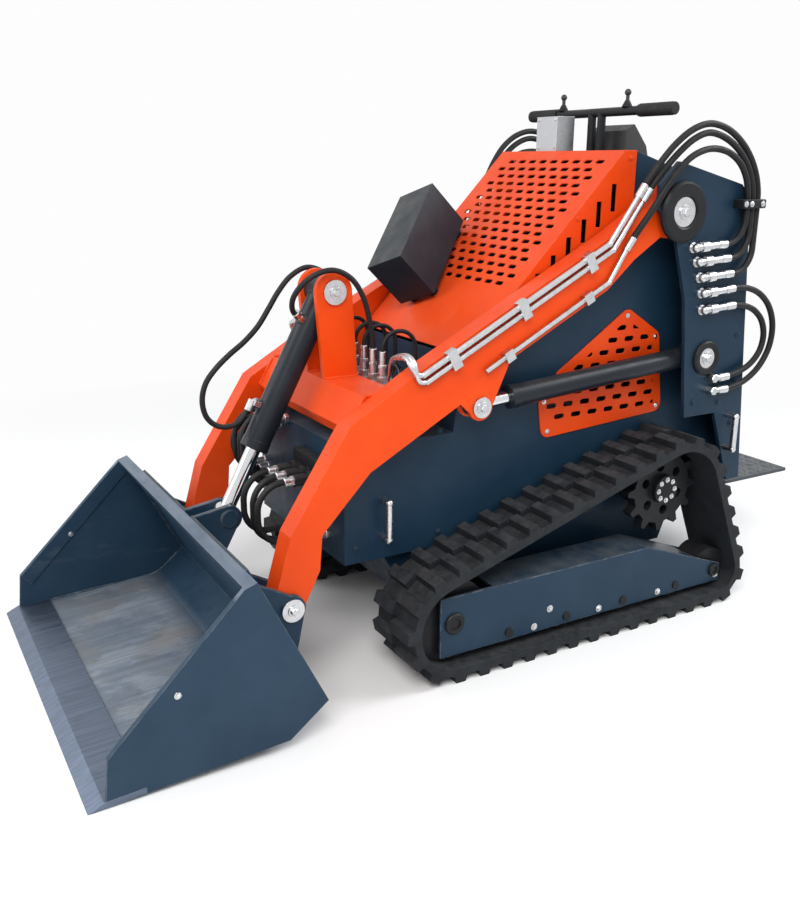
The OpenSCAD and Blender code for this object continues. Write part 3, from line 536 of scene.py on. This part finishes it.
# Track guards, rollers and sprockets
GUARD_Y, SPROCKET_Y = 420, 383
SPROCKET = (-500, 365)
for tag, s in SIDES:
    places = ((-21, 78), (-71, 118), (-242, 78), (-460, 78), (-690, 82))
    bolts(f"guard_bolts_{tag}", on_side(s, GUARD_Y, places), 6.5, ZINC, "chassis")
    bm = bmesh.new()
    for x, z, r in ((230, 150, 28), (-680, 100, 20)):
        add_ring(bm, (x, s * GUARD_Y, z), (0, s, 0), [(r * 0.55, 0), (r, 0), (r, 5), (r * 0.9, 8), (r * 0.55, 8)])
    piece(f"axle_caps_{tag}", bm, BLACK, "chassis")
    places = [(SPROCKET[0] + 30 * math.cos(a), SPROCKET[1] + 30 * math.sin(a)) for a in angles(8)]
    bolts(f"sprocket_bolts_{tag}", on_side(s, SPROCKET_Y, places), 5, ZINC, "chassis")

# Tower bosses and the bolts of their pins
TOWER_Y = 356
PIVOT_X, PIVOT_Z = -493, 1122
LIFT_PIN_X, LIFT_PIN_Z = -631, 725
for tag, s in SIDES:
    out = (0, s, 0)
    bm = bmesh.new()
    add_ring(bm, (PIVOT_X, s * TOWER_Y, PIVOT_Z), out,
             [(40, 0), (78, 0), (78, 9), (72, 15), (44, 15), (40, 12)], 48)
    add_ring(bm, (LIFT_PIN_X, s * TOWER_Y, LIFT_PIN_Z), out,
             [(29, 0), (48, 0), (48, 7), (44, 11), (32, 11), (29, 9)], 40)
    piece(f"tower_bosses_{tag}", bm, BLACK, "chassis")
    places = [((PIVOT_X, s * 366, PIVOT_Z), out), ((LIFT_PIN_X, s * 364, LIFT_PIN_Z), out)]
    bolts(f"pin_bolts_{tag}", places, 12, ZINC, "chassis")

# Bucket fasteners, and the bolts of the arms' pins
for tag, s in SIDES:
    places = [((954, s * 510, 210), (0, s, 0)), ((954, s * 496, 210), (0, -s, 0))]
    bolts(f"bucket_bolts_{tag}", places, 5, ZINC, "bucket")
    bolts(f"arm_pin_bolts_{tag}", on_side(s, 360, [(632, 255)]), 9, ZINC, "bucket")
    bolts(f"rod_pin_bolts_{tag}", on_side(s, 344, [(110, 668)]), 10, ZINC, "arms")
    bolts(f"ear_pin_bolts_{tag}", on_side(s, 64, [(368, 932)]), 10, ZINC, "arms")

# Hoses on the towers: three rise behind the tower to a clamp and go over its top to the arm's steel lines,
# and two loop down to the lift cylinder
HOSE_Y, TOWER_HOSE_R, SLEEVE_R = 374, 8.5, 11.5
CLAMP_Z, CLAMP_IN, CLAMP_OUT = 1140, 355.5, 392
TIPS = [(-630, 1036), (-648, 998), (-664, 956)]
RISE = [-714, -733, -752]
OVER = [
    [(-711, 374, 1168), (-699, 375, 1205), (-671, 376, 1242), (-627, 378, 1268), (-576, 380, 1279),
     (-529, 382, 1276), (-480, 382, 1257), (-437, 380, 1220), (-402, 376, 1174), (-371, 367, 1122),
     (-342, 352, 1071), (-320, 346, 1034)],
    [(-730, 374, 1170), (-717, 374, 1209), (-690, 374, 1250), (-646, 374, 1287), (-596, 374, 1310),
     (-545, 374, 1318), (-497, 373, 1303), (-452, 370, 1271), (-414, 363, 1231), (-384, 354, 1190),
     (-365, 346, 1154)],
    [(-749, 374, 1173), (-735, 374, 1216), (-706, 374, 1261), (-661, 374, 1302), (-607, 374, 1330),
     (-545, 374, 1340), (-489, 373, 1325), (-439, 369, 1291), (-399, 361, 1246), (-366, 351, 1197),
     (-347, 346, 1164)],
]
TURN_ENDS = [(-404, 1244), (-409, 1250), (-392, 1263)]
LIFT_LOOPS = [
    [(-676, 914), (-700, 916), (-752, 913), (-806, 893), (-850, 853), (-873, 797), (-867, 735), (-832, 682),
     (-780, 648), (-722, 634), (-680, 632)],
    [(-684, 868), (-706, 869), (-748, 864), (-790, 848), (-824, 817), (-839, 775), (-830, 731), (-798, 697),
     (-755, 678), (-712, 670), (-680, 668)],
]
for tag, s in SIDES:
    y = s * HOSE_Y
    bm = bmesh.new()
    for k, ((x, z), rise, over, turn_end) in enumerate(zip(TIPS, RISE, OVER, TURN_ENDS)):
        low = [(x, y, z), (rise, y, z), (rise, y, CLAMP_Z)]
        hose(f"tower_hose_{k}_{tag}", low, TOWER_HOSE_R, "chassis", corner=66)
        high = [(rise, y, CLAMP_Z), *mirrored(s, over)]
        bend = [(rise, y, CLAMP_Z), (turn_end[0], y, turn_end[1])]
        hose(f"arm_hose_{k}_{tag}", high, TOWER_HOSE_R, "chassis", bend)
        sleeve(bm, (x + 14, y, z), REAR, SLEEVE_R, 32)
    piece(f"tower_sleeves_{tag}", bm, ZINC, "chassis")
    bm = bmesh.new()
    for over in OVER:
        a, b = (Vector(q) for q in mirrored(s, over[-2:]))
        sleeve(bm, b + (b - a).normalized() * 4, a - b, 10, 36, 0.8)
    piece(f"arm_sleeves_{tag}", bm, ZINC, "arms")
    bm = bmesh.new()
    y_low, y_high = sorted((s * CLAMP_IN, s * CLAMP_OUT))
    add_box(bm, (-768, y_low, CLAMP_Z - 12), (-680, y_high, CLAMP_Z + 12), 4)
    piece(f"hose_clamp_{tag}", bm, BLACK, "chassis")
    places = [(x, CLAMP_Z) for x in (-754, -712, -690)]
    bolts(f"clamp_bolts_{tag}", on_side(s, CLAMP_OUT, places), 5, ZINC, "chassis")
    bm = bmesh.new()
    for k, route in enumerate(LIFT_LOOPS):
        hose(f"lift_hose_{k}_{tag}", [(x, y, z) for x, z in route], TOWER_HOSE_R, "chassis")
        x, z = route[-1]
        sleeve(bm, (x - 26, y, z), FRONT, SLEEVE_R, 34)
        add_cylinder(bm, (x + 8, y, z), FRONT, 9, 22, 20)
        nut(bm, (x + 28, s * CLAMP_IN, z), (0, s, 0), 13, 28)
        x, z = route[0]
        sleeve(bm, (x + 14, y, z - 1), (-1, 0, 0.065), SLEEVE_R, 34)
    piece(f"lift_sleeves_{tag}", bm, ZINC, "chassis")

# Hoses of the tilt cylinder, from its ends over the ears to the manifold
PORT_X, PORT_Z = 269, 744


def port_end(bm, y, r):
    """A hose end on a port of the manifold."""
    nut(bm, (PORT_X, y, PORT_Z), UP, 12, 8, 1)
    sleeve(bm, (PORT_X, y, PORT_Z + 8), UP, r, 34)


TILT_LOW = [
    (589, -6, 637), (609, -7, 615), (638, -8, 606), (667, -9, 613), (689, -11, 634), (698, -12, 662),
    (697, -14, 691), (685, -16, 723), (658, -19, 754), (620, -24, 784), (576, -32, 812), (534, -43, 846),
    (499, -55, 886), (466, -66, 926), (428, -73, 962), (381, -76, 982), (334, -77, 967), (299, -76, 922),
    (279, -75, 858), (270, -75, 800), (269, -75, 756),
]
TILT_HIGH = [
    (452, 20, 872), (472, 34, 892), (477, 50, 922), (458, 64, 956), (421, 74, 982), (376, 77, 988),
    (331, 77, 966), (298, 76, 920), (279, 75, 858), (270, 75, 800), (269, 75, 756),
]
hose("tilt_hose_low", TILT_LOW, 7, "arms")
hose("tilt_hose_high", TILT_HIGH, 7, "arms")
bm = bmesh.new()
nut(bm, (550, -3, 652), (0.883, 0, 0.470), 13, 24)
sleeve(bm, (570, -5, 668), (0.470, 0, -0.883), 11, 30)
nut(bm, (438, 12, 862), (0.62, 0.40, 0.62), 13, 20)
sleeve(bm, (446, 17, 868), (0.62, 0.40, 0.62), 10.5, 26)
for y in (-75, 75):
    port_end(bm, y, 10.5)
piece("tilt_sleeves", bm, ZINC, "arms")

# Short hoses on the manifold's other ports, looped back to its rear
LOOP_X, LOOP_TOP, LOOP_LOW = 176, 834, 693
bm = bmesh.new()
for k, y in enumerate((-125, -25, 25, 125)):
    y_back = y * 1.03
    route = [(PORT_X, y, PORT_Z + 12), (PORT_X, y, LOOP_TOP), (LOOP_X, y_back, LOOP_TOP),
             (LOOP_X, y_back, LOOP_LOW), (240, y_back, LOOP_LOW)]
    hose(f"port_hose_{k}", route, 5.5, "arms", corner=44)
    port_end(bm, y, 9)
    sleeve(bm, (242, y_back, LOOP_LOW), REAR, 9, 24)
piece("port_sleeves", bm, ZINC, "arms")

# Steel lines from the arms' faces over their tops to the manifold
for tag, s in SIDES:
    for k, (x, z, reach) in enumerate(((284, 767, 0), (276, 749, 22))):
        line = [(x, 345, z), (x + 16, 345, z + 4), (x + 30, 342, 792 + 4 * k), (x + 30, 326, 803 + 4 * k),
                (x + 26, 280, 800 + 4 * k), (x + 8, 215, 780), (x - 8 - reach, 178, 740),
                (x - 14 - reach, 160, 690), (x - 16 - reach, 148, 672)]
        tube(f"beam_line_{k}_{tag}", mirrored(s, line), 6.5, ZINC, "arms")

# Hoses at the nose, looped from the front panel to its lower fittings
PANEL_X, PANEL_HOSE_X, NOSE_HOSE_R = 449.5, 462, 8


def panel_end(bm, y, z):
    """A hose end on the front panel."""
    nut(bm, (PANEL_X, y, z), FRONT, 14, 12)
    sleeve(bm, (PANEL_X + 10.5, y, z), FRONT, SLEEVE_R, 26)


NOSE_HOSES = (  # y, top, low, reach
    (-70, 590, 420, 552), (-102, 572, 404, 548), (-134, 596, 428, 554),
    (-166, 578, 410, 550), (-198, 592, 422, 552), (-222, 566, 434, 549),
)
bm = bmesh.new()
for k, (y, top, low, reach) in enumerate(NOSE_HOSES):
    route = [(PANEL_HOSE_X, y, top), (reach, y, top), (reach, y, low), (PANEL_HOSE_X, y, low)]
    hose(f"nose_hose_{k}", route, NOSE_HOSE_R, "chassis", corner=64)
    panel_end(bm, y, top)
    panel_end(bm, y, low)
piece("nose_sleeves", bm, ZINC, "chassis")

# Hoses on the couplers, looped down to the foot of the front panel
COUPLER_Z = 500
bm = bmesh.new()
for k, (y, reach, low) in enumerate(((70, 634, 344), (120, 629, 336), (170, 637, 348))):
    route = [(548, y, COUPLER_Z), (reach, y, COUPLER_Z), (reach, y, low), (PANEL_HOSE_X, y, low)]
    hose(f"coupler_hose_{k}", route, NOSE_HOSE_R, "chassis", corner=66)
    nut(bm, (541.5, y, COUPLER_Z), FRONT, 13, 10, 1.5)
    sleeve(bm, (550, y, COUPLER_Z), FRONT, SLEEVE_R, 18)
    panel_end(bm, y, low)
piece("coupler_sleeves", bm, ZINC, "chassis")

# Raised studs on the platform, turned alternately
PLATFORM_TOP = 299
STUD_RIMS = ((12.5, 4.2, -0.5), (12, 3.8, 0.6), (9.5, 2.2, 1.9))
bm = bmesh.new()
for i in range(9):
    for j in range(17):
        turned = Matrix.Rotation(math.radians(45 if (i + j) % 2 else -45), 4, "Z")
        m = Matrix.Translation((-1137 + 31.5 * i, -256 + 32 * j, PLATFORM_TOP)) @ turned
        closed_skin(bm, [add_loop(bm, m, a, b, z, 12) for a, b, z in STUD_RIMS])
piece("platform_studs", bm, STUD, "stand_platform")

# Handlebar grips, lever boots, switches and gauges
BAR_X, BAR_Z = -495, 1379
bm = bmesh.new()
for s in (1, -1):
    ribs = [(12.2, 0), (16, 0)]
    for i in range(12):
        ribs += [(16, 3 + 10 * i), (17.2, 5 + 10 * i), (17.2, 9 + 10 * i), (16, 11 + 10 * i)]
    ribs += [(16, 126), (12.2, 126)]
    add_ring(bm, (BAR_X, s * 170, BAR_Z), (0, s, 0), ribs, 28)
    add_cylinder(bm, (BAR_X, s * 294, BAR_Z), (0, s, 0), 16.4, 6, 28, chamfer=2)
piece("bar_grips", bm, GRIP, "chassis")
bm = bmesh.new()
for y in (-150, 120):
    folds = [(5.2, 18), (14, 0)]
    for i in range(4):
        folds += [(15 - 2.2 * i, 2 + 4 * i), (12.4 - 1.9 * i, 5 + 4 * i)]
    add_ring(bm, (BAR_X, y, BAR_Z + 10), UP, folds, 28)
piece("lever_boots", bm, GRIP, "chassis")
bm = bmesh.new()
for y in (-116, -90, -64):
    add_ring(bm, (-451, y, 1346), REAR, [(4, 0), (9, 0), (9, 3), (7.5, 5), (4, 5)], 24)
    add_cylinder(bm, (-451, y, 1346), (-1, 0, 0.25), 3.2, 17, 14, 2.4, 0.8)
for y in (-106, -74):
    add_cylinder(bm, (-450.5, y, 1312), REAR, 10, 6, 28, 9, 1.2)
piece("control_switches", bm, PLASTIC, "chassis")
places = [((-389, y, z), FRONT) for y in (-126, -54) for z in (1285, 1360)]
bolts("control_screws", places, 3, ZINC, "chassis")
POD_X, POD_Z, POD_OUT = -594, 1320, Vector((-0.757, 0, 0.653))
bm = bmesh.new()
for y in (-36, 36):
    add_ring(bm, (POD_X, y, POD_Z), POD_OUT, [(21, -2), (26, -2), (26, 5), (24.5, 7), (22, 7), (21, 4)], 36)
piece("gauge_rims", bm, ZINC, "chassis")
bm = bmesh.new()
for y, swing in ((-36, 0.7), (36, -0.5)):
    dial = frame_at(Vector((POD_X, y, POD_Z)) + POD_OUT * 1.5, POD_OUT)
    for k in range(9):
        spoke = dial @ Matrix.Rotation(math.radians(-120 + 30 * k), 4, "Z")
        add_box(bm, (-0.6, 14.5, -2), (0.6, 19, 0.4), 0.2, spoke)
    add_box(bm, (-0.9, -4, -2), (0.9, 15, 1.4), 0.3, dial @ Matrix.Rotation(swing, 4, "Z"))
piece("gauge_marks", bm, ALLOY, "chassis")

# Fasteners on the panels, the grilles, the hood, the towers and the console
for tag, s in SIDES:
    places = ((420, 330), (420, 560), (180, 330), (180, 600), (-60, 330), (-330, 320))
    bolts(f"panel_bolts_{tag}", on_side(s, 260, places), 5, SLATE, "chassis")
    places = ((-549, 580), (-158, 553), (-143, 636), (-418, 846), (-526, 780))
    bolts(f"grille_bolts_{tag}", on_side(s, 264, places), 4.5, ZINC, "chassis")
    places = ((80, 796), (-60, 940), (-220, 1106), (-385, 1255))
    bolts(f"hood_bolts_{tag}", on_side(s, 267, places), 4.5, ORANGE, "chassis")
    places = ((-760, 520), (-766, 640), (-752, 780), (-700, 590), (-600, 600))
    bolts(f"tower_bolts_{tag}", on_side(s, TOWER_Y, places), 6, SLATE, "chassis")
CONSOLE_X, CONSOLE_Z, CONSOLE_FALL = -405, 1275, 0.2928
places = [((x, y, CONSOLE_Z - (CONSOLE_X - x) * CONSOLE_FALL), (-0.281, 0, 0.960))
          for x in (-425, -695) for y in (-235, -80, 80, 235)]
bolts("console_screws", places, 4, ZINC, "chassis")

# Rear door: a raised plate with hinges, slats and a latch over the rear panel
rear_at = Matrix.Translation((-756.4, 0, 1030)) @ Matrix.Rotation(math.atan2(0.0949, 0.9955), 4, "Y")
bm = bmesh.new()
add_box(bm, (-5.5, -205, -560), (0.5, 205, 60), 2.5, rear_at)
for z in (-80, -420):
    add_box(bm, (-11, -222, z - 34), (0.5, -198, z + 34), 3, rear_at)
piece("rear_door", bm, SLATE, "chassis")
bm = bmesh.new()
for i in range(9):
    add_box(bm, (-10, -150, -330 - 20 * i), (-5, 150, -321 - 20 * i), 1.8, rear_at)
add_box(bm, (-16, 150, -270), (-5, 182, -220), 3, rear_at)
piece("door_slats", bm, BLACK, "chassis")

# Weld beads in the bucket and on the cross beam
BUCKET_SEAMS = (
    [(780, 501.5, 408), (706, 501.5, 258), (632, 501.5, 108)],
    [(645, 501.5, 90), (716, 501.5, 37), (900, 501.5, 25), (1028, 501.5, 17)],
)
bm = bmesh.new()
for s in (1, -1):
    for seam in BUCKET_SEAMS:
        weld(bm, mirrored(s, seam), 4.5)
piece("bucket_welds", bm, GUARD, "bucket")
bm = bmesh.new()
for s in (1, -1):
    weld(bm, [(308, s * 275, 716), (350, s * 275, 716), (398, s * 275, 716)], 4.5)
    for y in (39, 57):
        weld(bm, [(306, s * y, 716), (350, s * y, 716), (399, s * y, 716)], 4)
    weld(bm, [(403, s * 275, 713), (424, s * 275, 677), (444, s * 275, 641)], 4.5)
piece("beam_welds", bm, ORANGE, "arms")

# Floor, which fades to the backdrop's white away from the loader
BACKDROP = (0.985, 0.985, 0.985, 1)
bm = bmesh.new()
bmesh.ops.create_grid(bm, x_segments=1, y_segments=1, size=60.0)
mesh = bpy.data.meshes.new("floor")
bm.to_mesh(mesh)
bm.free()
floor = bpy.data.objects.new("floor", mesh)
floor.location = (0, 0, -0.0005)
scene.collection.objects.link(floor)
t = Tree("studio_floor")
t.colour(t.mix(t.noise(0.8, 3), (0.93, 0.93, 0.93), (0.95, 0.95, 0.95)))
t.bsdf.inputs["Roughness"].default_value = 0.9
t.specular(0.1)
away = t.node("ShaderNodeVectorMath", operation="LENGTH")
t.link(t.coords, away.inputs[0])
path_kind = t.node("ShaderNodeLightPath")
seen = t.math("MAXIMUM", path_kind.outputs["Is Camera Ray"], path_kind.outputs["Is Glossy Ray"])
white = t.node("ShaderNodeEmission")
white.inputs[0].default_value = BACKDROP
both = t.node("ShaderNodeMixShader")
t.link(t.math("MULTIPLY", t.ramp(away.outputs["Value"], 1.6, 3.4), seen), both.inputs[0])
t.link(t.bsdf.outputs[0], both.inputs[1])
t.link(white.outputs[0], both.inputs[2])
t.link(both.outputs[0], t.out.inputs[0])
mesh.materials.append(t.mat)

# World: soft light, and the backdrop where it is seen or mirrored
world = bpy.data.worlds.new("studio")
scene.world = world
world.use_nodes = True
wt = world.node_tree
wt.nodes.clear()
w_out = wt.nodes.new("ShaderNodeOutputWorld")
w_mix = wt.nodes.new("ShaderNodeMixShader")
w_path = wt.nodes.new("ShaderNodeLightPath")
w_light = wt.nodes.new("ShaderNodeBackground")
w_light.inputs[0].default_value = (0.97, 0.985, 1.0, 1)
w_light.inputs[1].default_value = 0.54
w_seen = wt.nodes.new("ShaderNodeBackground")
w_seen.inputs[0].default_value = BACKDROP
w_seen.inputs[1].default_value = 1.0
w_seen_by = w_path.outputs["Is Camera Ray"]
for ray in ("Is Glossy Ray", "Is Transmission Ray"):
    w_max = wt.nodes.new("ShaderNodeMath")
    w_max.operation = "MAXIMUM"
    wt.links.new(w_seen_by, w_max.inputs[0])
    wt.links.new(w_path.outputs[ray], w_max.inputs[1])
    w_seen_by = w_max.outputs[0]
wt.links.new(w_seen_by, w_mix.inputs[0])
wt.links.new(w_light.outputs[0], w_mix.inputs[1])
wt.links.new(w_seen.outputs[0], w_mix.inputs[2])
wt.links.new(w_mix.outputs[0], w_out.inputs[0])


def area_light(name, where, at, size, power, tint=(1, 1, 1)):
    """A round lamp at where, turned to at; both in metres."""
    lamp = bpy.data.lights.new(name, "AREA")
    lamp.shape = "DISK"
    lamp.size = size
    lamp.energy = power
    lamp.color = tint
    obj = bpy.data.objects.new(name, lamp)
    obj.location = where
    obj.rotation_euler = (Vector(at) - Vector(where)).to_track_quat("-Z", "Y").to_euler()
    scene.collection.objects.link(obj)


area_light("key", (2.6, 3.4, 4.2), (0.1, 0.1, 0.5), 3.0, 190, (1.0, 0.985, 0.96))
area_light("fill", (3.8, -1.5, 2.6), (0.2, 0.0, 0.5), 3.0, 75)
area_light("rim", (-3.2, 1.5, 3.4), (-0.2, 0.0, 0.7), 2.5, 110, (0.96, 0.98, 1.0))
